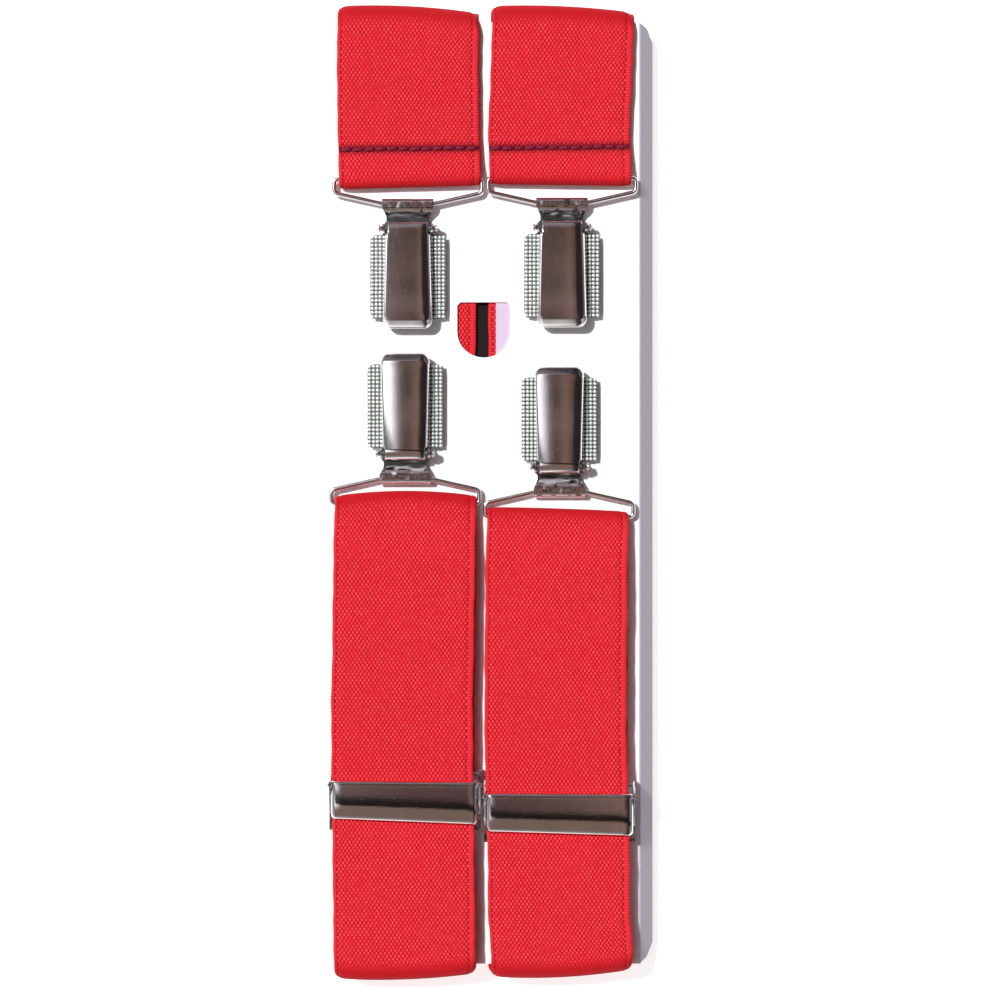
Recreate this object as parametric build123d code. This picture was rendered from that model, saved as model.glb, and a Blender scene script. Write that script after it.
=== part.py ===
"""Four-clip suspenders, X back, wrapped flat with the clips and the adjusters on top.

Millimetres. X is across the pair, Y along the straps and +Z up, away from the
surface that the folded pair lies on. The origin is the centre of the footprint.

Each strap is one elastic webbing. From its back clip it goes over the top edge,
crosses the other strap under the leather patch, is folded up and down again, comes
over the bottom edge, passes through its adjuster and round the wire loop of its
front clip, and returns to the adjuster, where its end is sewn.
"""
import os

from build123d import *

os.makedirs("parts", exist_ok=True)

# ---- webbing and the folded stack ------------------------------------------------
WEB_WIDTH = 34.2
WEB_THICK = 1.1
LENGTH = 235.4                      # top fold to bottom fold
STRAP_SPACING = 37.2                # centre to centre of the pair
TOP_SHIFT = 0.25                    # the top pair sits a little right of the bottom pair
BOTTOM_SHIFT = -0.40

PATCH_THICK = 0.9
Z_PATCH_OUTER = 0.0
Z_CROSS_RIGHT = 1.55                # mid-thickness of each layer of webbing, from below
Z_CROSS_LEFT = 2.75
Z_PATCH_INNER = 3.4
Z_PASS_TWO = 5.15
Z_PASS_THREE = 6.45
Z_TAIL = 8.35
Z_TOP_FRONT = 9.65
Z_BAR = 9.6
Z_BOTTOM_FRONT = 12.15

CROSS_Y = -38.0                     # centre of the X and of its patch
CROSS_RUN = 51.0                    # half the length of the slanted run, along Y
CROSS_BEND = 55.0                   # radius of the bend at each end of it
BAND_TOP = CROSS_Y + CROSS_RUN + 12.0
BAND_BOTTOM = CROSS_Y - CROSS_RUN - 12.0
FOLD_SHARE = 0.97                   # of half the gap, so that a fold keeps a short straight
FOLD_INSET_LOW = 1.4                # how far the inner folds stay in from the outer ones
FOLD_INSET_HIGH = 1.2
TAIL_LENGTH = 15.0                  # turned-back end of the webbing at a back clip, from the bar
BACK_RAMP = (1.4, 6.4)              # where the webbing rises off the back bar, from the bar
BACK_RAMP_BEND = 4.0
FRONT_RAMP = (12.5, 3.0)            # where it comes down to the front bar
FRONT_RAMP_BENDS = (12.0, 8.0)
RETURN_START = 5.0                  # from the front bar to where the return run begins
RETURN_RAMP = (1.6, 5.6)            # where the sewn end comes down on the return run
RETURN_BEND = 2.0
RETURN_TAIL = 14.0
LAYER_GAP = 0.1

# ---- wire loops --------------------------------------------------------------------
WIRE_R = 0.55
LOOP_HALF = 17.85                   # centre of the wire at each side
LOOP_SIDE = 3.3                     # straight side, from the bar to the corner
LOOP_HEIGHT = 5.8                   # bar to apex
LOOP_APEX = 6.7                     # half the straight at the apex
LOOP_GAP = 0.15                     # half the gap where the wire's ends meet
LOOP_BENDS = (2.0, 1.3, 0.9)        # at the apex, at the corners and at the bar
FOLD_INNER = 0.7                    # inside radius of the webbing round the bar
FOLD_RISE = FOLD_INNER + WEB_THICK / 2

BACK_BAR_Y = (75.4, 75.7)           # left, right
FRONT_BAR_Y = (-2.8, -6.0)
BACK_SLACK = 0.0
FRONT_SLACK = (0.8, 0.2)            # how loosely the fold sits round each front bar

# ---- clips, in their own frame: the apex wire at the origin, the mouth towards +Y ------
SHEET = 0.55
ROLL_IN = 0.62
ROLL_OUT = ROLL_IN + SHEET
TAB_HALF = 6.2
TAB_END = 0.9                       # where the tab starts to narrow
NECK_HALF = 5.2
NECK_SPAN = (3.2, 4.2)              # the narrowest stretch of the neck
EAR_IN = 5.55
EAR_OUT = 6.1
EAR_SPAN = (5.0, 9.0)
EAR_TOP_R = 1.2                     # round head of the ear, about the pin
EAR_FOOT = 2.6
BACK_BENDS = (1.5, 4.2)             # where the sheet turns down from the roll, and flat again
BACK_BEND_R = 1.6
PIN_U = 6.2
PIN_W = 1.9
PIN_R = 0.65
PIN_HALF = 6.9
PIN_FIT = 0.04
JAW_HALF = 9.1
JAW_START = 7.6
JAW_END = 27.8
JAW_CORNER = 1.6
BACK_PLATE_W = -1.6                 # underside of the back plate
FRONT_JAW_W = -0.4                  # underside of the front jaw
LUG_IN = 4.85
LUG_OUT = 5.4
LUG_TOP_R = 1.1
LUG_FOOT = 2.0
TONGUE_LAP = 1.0                    # how far the jaw's tongue runs into the jaw plate
LEVER_TOP = 3.6
LEVER_BOTTOM = 0.95
LEVER_HALF_TOP = 4.95
LEVER_HALF_BOTTOM = 6.15
LEVER_HUB_HALF = 4.7
LEVER_HUB_R = LEVER_TOP - PIN_W
LEVER_END = 30.3
LEVER_BEND = 28.4
LEVER_TIP_W = 2.0
LEVER_ROUND = 1.0
LEVER_ROUND_SHRINK = 0.6            # how much less the inside is rounded, per sheet
HUB_CUT = 0.75                      # the hub is open below this depth under the pin

# ---- adjusters, in their own frame: mid-cover at Y 0, heights as in the whole ------------
ADJUST_Y = (-74.5, -77.4)
COVER_HALF_LEN = 4.75
COVER_HALF = 17.7
COVER_WALL = 0.45
HINGE_Y = 4.1
HINGE_Z = 13.7
HINGE_R = 0.45
NOSE_R = 0.9
COVER_CROWN = 14.75
COVER_CROWN_Y = -0.6
COVER_EDGE_Z = 13.05
COVER_LIP = 0.5                     # upright edge at the cover's low side
COVER_BELLY = (-0.4, 7.6)           # hollow under the cover: middle and length along Y
COVER_END = (-0.8, 6.6)             # end walls, the same
COVER_DROP = 1.4
COVER_FIT = 0.05
HINGE_FIT = 0.03
HINGE_EAR_R = 0.95
HINGE_EAR_FOOT = (0.6, 7.4)
ANCHOR_EAR_FOOT = (2.2, 2.0)
HINGE_PIN_END = 0.3                 # how far each end stands out of the frame
ANCHOR_END = 0.2
FRAME_IN = 17.75
FRAME_OUT = 18.2
FRAME_FLOOR = 10.95
FRAME_LOW_Y = -7.0
FRAME_HIGH_Y = 3.9
ANCHOR_Y = 6.4
ANCHOR_Z = 9.6
ANCHOR_R = 0.6
EAR_R = 1.35

# ---- stitches ------------------------------------------------------------------------
STITCH_LEN = 2.1
STITCH_PITCH = 2.75
STITCH_COUNT = 12
STITCH_R = 0.22
BACK_STITCH_Y = 7.4                 # above the bar
ANCHOR_STITCH_Y = 9.0

PATCH_HALF_X = 24.0
PATCH_HALF_Y = 31.0
PATCH_WAIST = 7.0                   # how far each side is drawn in at the middle
PATCH_CORNER = 5.0
PATCH_SEAM_IN = 2.6
PATCH_SEAM_RISE = 0.2


def write(name, shape):
    """Write one named sub-part."""
    export_step(shape, f"parts/{name}.step")


def ribbon(points, radii, x):
    """Webbing that runs in the Y-Z plane through the (y, z) points, centred on x."""
    path = FilletPolyline(*[(x, y, z) for y, z in points], radius=radii)
    start = Plane(origin=path @ 0, x_dir=(1, 0, 0), z_dir=path % 0)
    return sweep(start * Rectangle(WEB_WIDTH, WEB_THICK), path=path)


def band(x_from, x_to, z):
    """The flat slanted run of webbing where the straps cross."""
    points = [
        (x_from, BAND_TOP, z),
        (x_from, CROSS_Y + CROSS_RUN, z),
        (x_to, CROSS_Y - CROSS_RUN, z),
        (x_to, BAND_BOTTOM, z),
    ]
    path = FilletPolyline(*points, radius=CROSS_BEND)
    start = Plane(origin=path @ 0, x_dir=(0, 0, 1), z_dir=path % 0)
    return sweep(start * Rectangle(WEB_THICK, WEB_WIDTH), path=path)


def fold(z_low, z_high):
    """Radius of a fold between two layers."""
    return FOLD_SHARE * abs(z_high - z_low) / 2


def strap(side, z_cross):
    """One whole strap. side is the side of its front end: 0 left, 1 right."""
    sign = (-1, 1)[side]
    x_back = -sign * STRAP_SPACING / 2 + TOP_SHIFT
    x_front = sign * STRAP_SPACING / 2 + BOTTOM_SHIFT
    bar = BACK_BAR_Y[1 - side]
    loop_y = bar - FOLD_RISE - BACK_SLACK
    loop_top = Z_BAR + FOLD_RISE
    top_y = LENGTH / 2 - WEB_THICK / 2
    back_end = ribbon(
        [
            (bar + TAIL_LENGTH, Z_TAIL),
            (loop_y, Z_TAIL),
            (loop_y, loop_top),
            (bar + BACK_RAMP[0], loop_top),
            (bar + BACK_RAMP[1], Z_TOP_FRONT),
            (top_y, Z_TOP_FRONT),
            (top_y, z_cross),
            (BAND_TOP, z_cross),
        ],
        [fold(Z_TAIL, loop_top)] * 2
        + [BACK_RAMP_BEND] * 2
        + [fold(z_cross, Z_TOP_FRONT)] * 2,
        x_back,
    )
    low = -LENGTH / 2 + WEB_THICK / 2
    inner_low = low + FOLD_INSET_LOW
    inner_high = LENGTH / 2 - WEB_THICK - FOLD_INSET_HIGH
    bar = FRONT_BAR_Y[side]
    loop_y = bar + FOLD_RISE + FRONT_SLACK[side]
    front_end = ribbon(
        [
            (BAND_BOTTOM, z_cross),
            (inner_low, z_cross),
            (inner_low, Z_PASS_TWO),
            (inner_high, Z_PASS_TWO),
            (inner_high, Z_PASS_THREE),
            (low, Z_PASS_THREE),
            (low, Z_BOTTOM_FRONT),
            (bar - FRONT_RAMP[0], Z_BOTTOM_FRONT),
            (bar - FRONT_RAMP[1], loop_top),
            (loop_y, loop_top),
            (loop_y, Z_TAIL),
            (bar - RETURN_START, Z_TAIL),
        ],
        [fold(z_cross, Z_PASS_TWO)] * 2
        + [fold(Z_PASS_TWO, Z_PASS_THREE)] * 2
        + [fold(Z_PASS_THREE, Z_BOTTOM_FRONT)] * 2
        + list(FRONT_RAMP_BENDS)
        + [fold(Z_TAIL, loop_top)] * 2,
        x_front,
    )
    return back_end + band(x_back, x_front, z_cross) + front_end


def return_strap(side):
    """The end of a strap, from its front wire loop back to the adjuster's bar."""
    x = (-1, 1)[side] * STRAP_SPACING / 2 + BOTTOM_SHIFT
    bar = ADJUST_Y[side] + ANCHOR_Y
    loop_y = bar - FOLD_RISE - ANCHOR_R + WIRE_R
    loop_top = Z_BAR + FOLD_RISE
    sewn_z = Z_TAIL + WEB_THICK + LAYER_GAP
    return ribbon(
        [
            (FRONT_BAR_Y[side] - RETURN_START, Z_TAIL),
            (loop_y, Z_TAIL),
            (loop_y, loop_top),
            (bar + RETURN_RAMP[0], loop_top),
            (bar + RETURN_RAMP[1], sewn_z),
            (bar + RETURN_TAIL, sewn_z),
        ],
        [fold(Z_TAIL, loop_top)] * 2 + [RETURN_BEND] * 2,
        x,
    )


def bar_of(radius, half, y, z):
    """A round bar along X."""
    return Pos(0, y, z) * Rot(0, 90, 0) * Cylinder(radius, 2 * half)


def wire_loop():
    """The bent wire, in the clip's frame: apex at Y 0, bar at Y -LOOP_HEIGHT."""
    corner = LOOP_SIDE - LOOP_HEIGHT
    half = [
        (LOOP_GAP, 0),
        (LOOP_APEX, 0),
        (LOOP_HALF, corner),
        (LOOP_HALF, -LOOP_HEIGHT),
    ]
    points = half + [(-x, y) for x, y in reversed(half)]
    path = FilletPolyline(*points, radius=[*LOOP_BENDS, *reversed(LOOP_BENDS)])
    return sweep(Plane(origin=path @ 0, z_dir=path % 0) * Circle(WIRE_R), path=path)


def side_plate(outline, x_in, x_out):
    """Two plates in the Y-Z plane, from x_in to x_out and mirrored."""
    plate = extrude(Plane.YZ.offset(x_in) * outline, x_out - x_in)
    return plate + mirror(plate, Plane.YZ)


def jaw_blank(w_low):
    """A flat jaw plate with rounded corners."""
    length = JAW_END - JAW_START
    plate = RectangleRounded(2 * JAW_HALF, length, JAW_CORNER)
    return extrude(Pos(0, (JAW_START + JAW_END) / 2, w_low) * plate, SHEET)


def clip_back():
    """Back jaw, neck, the tab rolled round the wire, and the ears that hold the pin."""
    roll = Circle(ROLL_OUT) - Circle(ROLL_IN)
    mid = BACK_PLATE_W + SHEET / 2
    roll_mid = (ROLL_IN + ROLL_OUT) / 2
    turn, flat = BACK_BENDS
    line = FilletPolyline(
        (0, roll_mid),
        (turn, roll_mid),
        (flat, mid),
        (EAR_SPAN[1], mid),
        radius=BACK_BEND_R,
    )
    neck_profile = trace(line, SHEET)
    sheet_profile = roll + neck_profile
    tab = extrude(Plane.YZ * sheet_profile, TAB_HALF, both=True)
    right_side = [
        (TAB_HALF, -ROLL_OUT),
        (TAB_HALF, TAB_END),
        (NECK_HALF, NECK_SPAN[0]),
        (NECK_HALF, NECK_SPAN[1]),
        (EAR_OUT, EAR_SPAN[0]),
        (EAR_OUT, EAR_SPAN[1]),
    ]
    outline = Polyline(*right_side, *[(-x, y) for x, y in reversed(right_side)], close=True)
    tab &= extrude(make_face(outline), TAB_HALF, both=True)
    ear = make_hull(
        [
            *(Pos(PIN_U, PIN_W) * Circle(EAR_TOP_R)).edges(),
            *(Pos(PIN_U, mid) * Rectangle(EAR_FOOT, SHEET)).edges(),
        ]
    )
    ears = side_plate(ear, EAR_IN, EAR_OUT)
    body = tab + jaw_blank(BACK_PLATE_W) + ears
    return body - bar_of(PIN_R + PIN_FIT, 2 * TAB_HALF, PIN_U, PIN_W)


def clip_jaw():
    """Front jaw, hung on the pin by two lugs."""
    mid = FRONT_JAW_W + SHEET / 2
    tongue_start = PIN_U - LUG_FOOT / 2
    tongue_end = JAW_START + TONGUE_LAP
    tongue = Pos(0, (tongue_start + tongue_end) / 2, mid) * Box(
        2 * LUG_OUT, tongue_end - tongue_start, SHEET
    )
    lug = make_hull(
        [
            *(Pos(PIN_U, PIN_W) * Circle(LUG_TOP_R)).edges(),
            *(Pos(PIN_U, mid) * Rectangle(LUG_FOOT, SHEET)).edges(),
        ]
    )
    body = jaw_blank(FRONT_JAW_W) + tongue + side_plate(lug, LUG_IN, LUG_OUT)
    return body - bar_of(PIN_R + PIN_FIT, 2 * TAB_HALF, PIN_U, PIN_W)


def lever_form(inset):
    """The lever's outer form, or its inside when inset is the sheet's thickness."""
    top = LEVER_TOP - inset
    bottom = LEVER_BOTTOM - 4 * inset
    flare = (LEVER_HALF_BOTTOM - LEVER_HALF_TOP) / (LEVER_TOP - LEVER_BOTTOM)
    half_top = LEVER_HALF_TOP - inset
    half_bottom = half_top + flare * (top - bottom)
    section = Polyline(
        (-half_top, top),
        (half_top, top),
        (half_bottom, bottom),
        (-half_bottom, bottom),
        close=True,
    )
    body = extrude(Plane.XZ * make_face(section), -2 * LEVER_END)
    edges = body.edges().filter_by(Axis.Y).group_by(Axis.Z)[-1]
    body = fillet(edges, LEVER_ROUND - LEVER_ROUND_SHRINK * inset)
    slope = (LEVER_TOP - LEVER_TIP_W) / (LEVER_END - LEVER_BEND)
    setback = inset * (1 + slope * slope) ** 0.5 / slope
    start = PIN_U if inset else JAW_START
    profile = Polyline(
        (start, bottom),
        (start, top),
        (LEVER_BEND - setback + inset / slope, top),
        (LEVER_END - setback, LEVER_TIP_W),
        (LEVER_END - setback, bottom),
        close=True,
    )
    return body & extrude(Plane.YZ * make_face(profile), 2 * JAW_HALF, both=True)


def lever():
    """The cam lever: a channel with flared sides, a rolled hub and a turned-down tip."""
    reach = JAW_START + SHEET - PIN_U
    hub_profile = Pos(PIN_U, PIN_W) * Circle(LEVER_HUB_R)
    hub_profile += Pos(PIN_U + reach / 2, PIN_W + SHEET / 2) * Rectangle(
        reach, 2 * LEVER_HUB_R - SHEET
    )
    cut = 2 * LEVER_HUB_R
    hub_profile -= Pos(PIN_U + cut, PIN_W - cut - HUB_CUT) * Rectangle(2 * cut, 2 * cut)
    hub = extrude(Plane.YZ * hub_profile, LEVER_HUB_HALF, both=True)
    inner_r = LEVER_HUB_R - SHEET
    hollow_profile = Pos(PIN_U, PIN_W) * Circle(inner_r)
    hollow_profile += Pos(PIN_U + cut, PIN_W + inner_r - cut) * Rectangle(2 * cut, 2 * cut)
    hollow = extrude(Plane.YZ * hollow_profile, LEVER_HUB_HALF - SHEET, both=True)
    body = (lever_form(0) - lever_form(SHEET)) + (hub - hollow)
    return body - bar_of(PIN_R + PIN_FIT, 2 * TAB_HALF, PIN_U, PIN_W)


def clip_pin():
    """The pivot pin."""
    return bar_of(PIN_R, PIN_HALF, PIN_U, PIN_W)


def adjuster_frame():
    """Rear plate behind the strap, with side ears for the hinge pin and the anchor bar."""
    floor_z = FRAME_FLOOR + COVER_WALL / 2
    floor = Pos(0, (FRAME_HIGH_Y + FRAME_LOW_Y) / 2, floor_z) * Box(
        2 * FRAME_OUT, FRAME_HIGH_Y - FRAME_LOW_Y, COVER_WALL
    )
    hinge_head = Pos(HINGE_Y, HINGE_Z) * Circle(HINGE_EAR_R)
    hinge_foot = Pos(HINGE_EAR_FOOT[0], floor_z) * Rectangle(HINGE_EAR_FOOT[1], COVER_WALL)
    anchor_head = Pos(ANCHOR_Y, ANCHOR_Z) * Circle(EAR_R)
    anchor_foot = Pos(ANCHOR_EAR_FOOT[0], floor_z) * Rectangle(ANCHOR_EAR_FOOT[1], COVER_WALL)
    hinge_ear = make_hull([*hinge_head.edges(), *hinge_foot.edges()])
    anchor_ear = make_hull([*anchor_head.edges(), *hinge_head.edges(), *anchor_foot.edges()])
    body = floor + side_plate(hinge_ear + anchor_ear, FRAME_IN, FRAME_OUT)
    body -= bar_of(HINGE_R + HINGE_FIT, 2 * FRAME_OUT, HINGE_Y, HINGE_Z)
    return body - bar_of(ANCHOR_R, 2 * FRAME_OUT, ANCHOR_Y, ANCHOR_Z)


def adjuster_cover():
    """The bright cover: a bowed plate rolled round the hinge pin, with short end walls."""
    nose = Pos(HINGE_Y, HINGE_Z) * Circle(NOSE_R)
    low = (-COVER_HALF_LEN, COVER_EDGE_Z)
    lip = Line(low, (-COVER_HALF_LEN, COVER_EDGE_Z + COVER_LIP))
    crown = ThreePointArc(
        lip @ 1,
        (COVER_CROWN_Y, COVER_CROWN),
        (HINGE_Y, HINGE_Z + NOSE_R),
    )
    closing = Line(crown @ 1, (HINGE_Y, COVER_EDGE_Z))
    filled = make_face([lip, crown, closing, Line(closing @ 1, low)])
    hollow = offset(filled + nose, -COVER_WALL)
    hollow += Pos(COVER_BELLY[0], COVER_EDGE_Z) * Rectangle(COVER_BELLY[1], COVER_DROP)
    plate = extrude(Plane.YZ * (filled + nose - hollow + nose), COVER_HALF, both=True)
    end_wall = filled + Pos(COVER_END[0], COVER_EDGE_Z - COVER_WALL) * Rectangle(
        COVER_END[1], COVER_DROP
    )
    body = plate + side_plate(end_wall, COVER_HALF - COVER_WALL, COVER_HALF)
    return body - bar_of(HINGE_R + COVER_FIT, 2 * FRAME_OUT, HINGE_Y, HINGE_Z)


def stitch_row(y, z):
    """A row of thread runs across the webbing, lying on the face at height z."""
    first = -(STITCH_COUNT - 1) / 2 * STITCH_PITCH
    row = []
    for index in range(STITCH_COUNT):
        thread = Rot(0, 90, 0) * Cylinder(STITCH_R, STITCH_LEN)
        row.append(Pos(first + index * STITCH_PITCH, y, z + STITCH_R) * thread)
    return row


def patch_outline(inset=0.0):
    """The patch: a panel with drawn-in sides that follows the X of the straps."""
    x = PATCH_HALF_X - inset
    y = PATCH_HALF_Y - inset
    left = ThreePointArc((-x, y), (-x + PATCH_WAIST, 0), (-x, -y))
    right = ThreePointArc((x, -y), (x - PATCH_WAIST, 0), (x, y))
    face = make_face([left, Line(left @ 1, right @ 0), right, Line(right @ 1, left @ 0)])
    return fillet(face.vertices(), PATCH_CORNER - inset)


def patch(z):
    """One leather panel of the back patch."""
    return extrude(Pos(0, CROSS_Y, z) * patch_outline(), PATCH_THICK)


def patch_seam():
    """The sewn line round the patch, a flat ring of thread on the inner panel."""
    line = patch_outline(PATCH_SEAM_IN) - patch_outline(PATCH_SEAM_IN + 2 * STITCH_R)
    return extrude(Pos(0, CROSS_Y, Z_PATCH_INNER + PATCH_THICK) * line, PATCH_SEAM_RISE)


def place_clip(index, front):
    """Location of a clip's frame: the mouth towards +Y in front, towards -Y at the back."""
    sign = (-1, 1)[index]
    if front:
        x = sign * STRAP_SPACING / 2 + BOTTOM_SHIFT
        return Pos(x, FRONT_BAR_Y[index] + LOOP_HEIGHT, Z_BAR)
    x = sign * STRAP_SPACING / 2 + TOP_SHIFT
    return Pos(x, BACK_BAR_Y[index] - LOOP_HEIGHT, Z_BAR) * Rot(0, 0, 180)


SIDES = ("left", "right")
CLIP_PARTS = {
    "wire_loop": wire_loop(),
    "clip_back": clip_back(),
    "clip_jaw": clip_jaw(),
    "clip_lever": lever(),
    "clip_pin": clip_pin(),
}
ADJUSTER_PARTS = {
    "adjuster_frame": adjuster_frame(),
    "adjuster_cover": adjuster_cover(),
    "adjuster_hinge_pin": bar_of(HINGE_R, FRAME_OUT + HINGE_PIN_END, HINGE_Y, HINGE_Z),
    "adjuster_anchor_bar": bar_of(ANCHOR_R, FRAME_OUT + ANCHOR_END, ANCHOR_Y, ANCHOR_Z),
}

for index, side in enumerate(SIDES):
    sign = (-1, 1)[index]
    x_front = sign * STRAP_SPACING / 2 + BOTTOM_SHIFT
    x_back = sign * STRAP_SPACING / 2 + TOP_SHIFT
    write(f"{side}_strap", strap(index, (Z_CROSS_LEFT, Z_CROSS_RIGHT)[index]))
    write(f"{side}_strap_return", return_strap(index))
    for name, shape in CLIP_PARTS.items():
        write(f"front_{side}_{name}", place_clip(index, True) * shape)
        write(f"back_{side}_{name}", place_clip(index, False) * shape)
    for name, shape in ADJUSTER_PARTS.items():
        write(f"{side}_{name}", Pos(x_front, ADJUST_Y[index], 0) * shape)
    row = stitch_row(BACK_BAR_Y[index] + BACK_STITCH_Y, Z_TOP_FRONT + WEB_THICK / 2)
    write(f"back_{side}_stitches", Compound([Pos(x_back, 0, 0) * s for s in row]))
    anchor = ADJUST_Y[index] + ANCHOR_Y + ANCHOR_STITCH_Y
    row = stitch_row(anchor, Z_TAIL + WEB_THICK * 1.5 + LAYER_GAP)
    write(f"front_{side}_stitches", Compound([Pos(x_front, 0, 0) * s for s in row]))

write("patch_outer", patch(Z_PATCH_OUTER))
write("patch_inner", patch(Z_PATCH_INNER))
write("patch_seam", patch_seam())
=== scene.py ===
"""Looks of the folded suspenders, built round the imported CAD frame.

The pair lies on a pale light table, wrapped round a white card as it is sold, and is seen from
straight above. Lengths below are in millimetres unless a name says otherwise.
"""

from functools import lru_cache
from math import ceil, copysign, cos, exp, pi, radians, sin, tan

import bmesh
import bpy
import numpy as np
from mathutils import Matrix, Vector, noise


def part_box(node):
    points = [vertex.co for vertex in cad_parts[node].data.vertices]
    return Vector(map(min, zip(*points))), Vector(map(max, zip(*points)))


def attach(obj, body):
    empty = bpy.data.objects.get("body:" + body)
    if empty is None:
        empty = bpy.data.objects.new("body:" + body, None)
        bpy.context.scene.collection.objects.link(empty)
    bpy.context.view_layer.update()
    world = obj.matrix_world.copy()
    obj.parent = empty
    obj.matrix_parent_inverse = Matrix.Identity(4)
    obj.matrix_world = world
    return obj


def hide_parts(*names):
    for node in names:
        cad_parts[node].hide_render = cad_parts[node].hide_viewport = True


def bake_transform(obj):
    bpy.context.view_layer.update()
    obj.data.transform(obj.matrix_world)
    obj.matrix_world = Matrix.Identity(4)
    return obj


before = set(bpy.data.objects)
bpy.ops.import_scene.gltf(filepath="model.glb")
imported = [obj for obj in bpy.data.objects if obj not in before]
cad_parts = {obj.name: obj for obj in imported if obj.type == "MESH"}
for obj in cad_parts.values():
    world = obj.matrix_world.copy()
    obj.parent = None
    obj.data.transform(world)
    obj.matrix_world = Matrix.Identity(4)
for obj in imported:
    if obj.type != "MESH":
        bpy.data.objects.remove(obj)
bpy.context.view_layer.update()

MM = 0.001
SIDES = ("left", "right")
CLIPS = [(end, side) for end in ("back", "front") for side in SIDES]
UP, DOWN = (0, 0, 1), (0, 0, -1)


# ---- places read from the frame ----
@lru_cache(None)
def box(node):
    """Lowest and highest corner of a CAD node, in millimetres."""
    low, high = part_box(node)
    return low / MM, high / MM


def middle(node):
    low, high = box(node)
    return (low + high) / 2


WIRE_R = 0.55
LOOP_HEIGHT = 5.8  # from a wire loop's bar to its apex
BAR_Z = middle("back_left_wire_loop").z


def loop_bar_y(end, side):
    """Where the straight bar of a wire loop lies, along the straps."""
    low, high = box(f"{end}_{side}_wire_loop")
    return high.y - WIRE_R if end == "back" else low.y + WIRE_R


def clip_place(end, side):
    """Function from a clip's own frame to the object's: the wire's apex at 0, the mouth towards +v."""
    turn = -1 if end == "back" else 1
    x = middle(f"{end}_{side}_wire_loop").x
    y = loop_bar_y(end, side) + turn * LOOP_HEIGHT
    return lambda a, v, w: (x + turn * a, y + turn * v, BAR_Z + w)


# ---- webbing route, as in the CAD ----
WEB_WIDTH = 34.2
WEB_THICK = 1.1
LENGTH = 235.4  # of the folded pair
Z_CROSS = {"left": 2.75, "right": 1.55}
Z_PASS_TWO = 5.15
Z_PASS_THREE = 6.45
Z_TAIL = 8.35
Z_TOP_FRONT = 9.65
Z_BOTTOM_FRONT = 12.15
CROSS_Y = -38.0  # middle of the X
CROSS_RUN = 51.0  # half the length of the slanted run, along y
CROSS_BEND = 55.0
FOLD_SHARE = 0.97  # a fold's radius, as a share of half the gap it spans
FOLD_RISE = 1.25  # from a bar's axis to the middle of the webbing round it
FOLD_INSET_LOW, FOLD_INSET_HIGH = 1.4, 1.2  # how far the inner folds stay in from the outer ones
FRONT_SLACK = {"left": 0.8, "right": 0.2}  # how loosely the fold sits round each front bar
TAIL_LENGTH = 15.0  # turned-back end of the webbing at a back clip, from the bar
BACK_RAMP = (1.4, 6.4)  # where the webbing rises off the back bar, from the bar
BACK_RAMP_BEND = 4.0
FRONT_RAMP = (12.5, 3.0)  # where it comes down to the front bar
FRONT_RAMP_BENDS = [12.0, 8.0]
RETURN_START = 5.0  # from the front bar to where the return run begins
RETURN_RAMP = (1.6, 5.6)  # where the sewn end comes down on the return run
RETURN_BEND = 2.0
RETURN_TAIL = 14.0
LAYER_GAP = 0.1
TOP_Y = LENGTH / 2 - WEB_THICK / 2
LOW_Y = -TOP_Y
STITCH_AT = 7.4  # from a back bar to its row of sewing
ANCHOR_R = 0.6


def fold(low, high):
    """Radius of a fold between two heights."""
    return FOLD_SHARE * abs(high - low) / 2


def other(side):
    return "right" if side == "left" else "left"


def strap_route(side):
    """Corner points and bend radii of one strap, from its back clip to its front clip."""
    z = Z_CROSS[side]
    x_back = middle(f"back_{other(side)}_wire_loop").x
    x_front = middle(f"front_{side}_wire_loop").x
    bar = loop_bar_y("back", other(side))
    loop_y = bar - FOLD_RISE
    loop_top = BAR_Z + FOLD_RISE
    back = [
        (bar + TAIL_LENGTH, Z_TAIL),
        (loop_y, Z_TAIL),
        (loop_y, loop_top),
        (bar + BACK_RAMP[0], loop_top),
        (bar + BACK_RAMP[1], Z_TOP_FRONT),
        (TOP_Y, Z_TOP_FRONT),
        (TOP_Y, z),
    ]
    inner_low = LOW_Y + FOLD_INSET_LOW
    inner_high = LENGTH / 2 - WEB_THICK - FOLD_INSET_HIGH
    bar = loop_bar_y("front", side)
    loop_y = bar + FOLD_RISE + FRONT_SLACK[side]
    front = [
        (inner_low, z),
        (inner_low, Z_PASS_TWO),
        (inner_high, Z_PASS_TWO),
        (inner_high, Z_PASS_THREE),
        (LOW_Y, Z_PASS_THREE),
        (LOW_Y, Z_BOTTOM_FRONT),
        (bar - FRONT_RAMP[0], Z_BOTTOM_FRONT),
        (bar - FRONT_RAMP[1], loop_top),
        (loop_y, loop_top),
        (loop_y, Z_TAIL),
        (bar - RETURN_START, Z_TAIL),
    ]
    points = [(x_back, y, h) for y, h in back]
    points += [(x_back, CROSS_Y + CROSS_RUN, z), (x_front, CROSS_Y - CROSS_RUN, z)]
    points += [(x_front, y, h) for y, h in front]
    radii = (
        [fold(Z_TAIL, loop_top)] * 2
        + [BACK_RAMP_BEND] * 2
        + [fold(z, Z_TOP_FRONT)] * 2
        + [CROSS_BEND] * 2
        + [fold(z, Z_PASS_TWO)] * 2
        + [fold(Z_PASS_TWO, Z_PASS_THREE)] * 2
        + [fold(Z_PASS_THREE, Z_BOTTOM_FRONT)] * 2
        + FRONT_RAMP_BENDS
        + [fold(Z_TAIL, loop_top)] * 2
    )
    return points, radii


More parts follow.
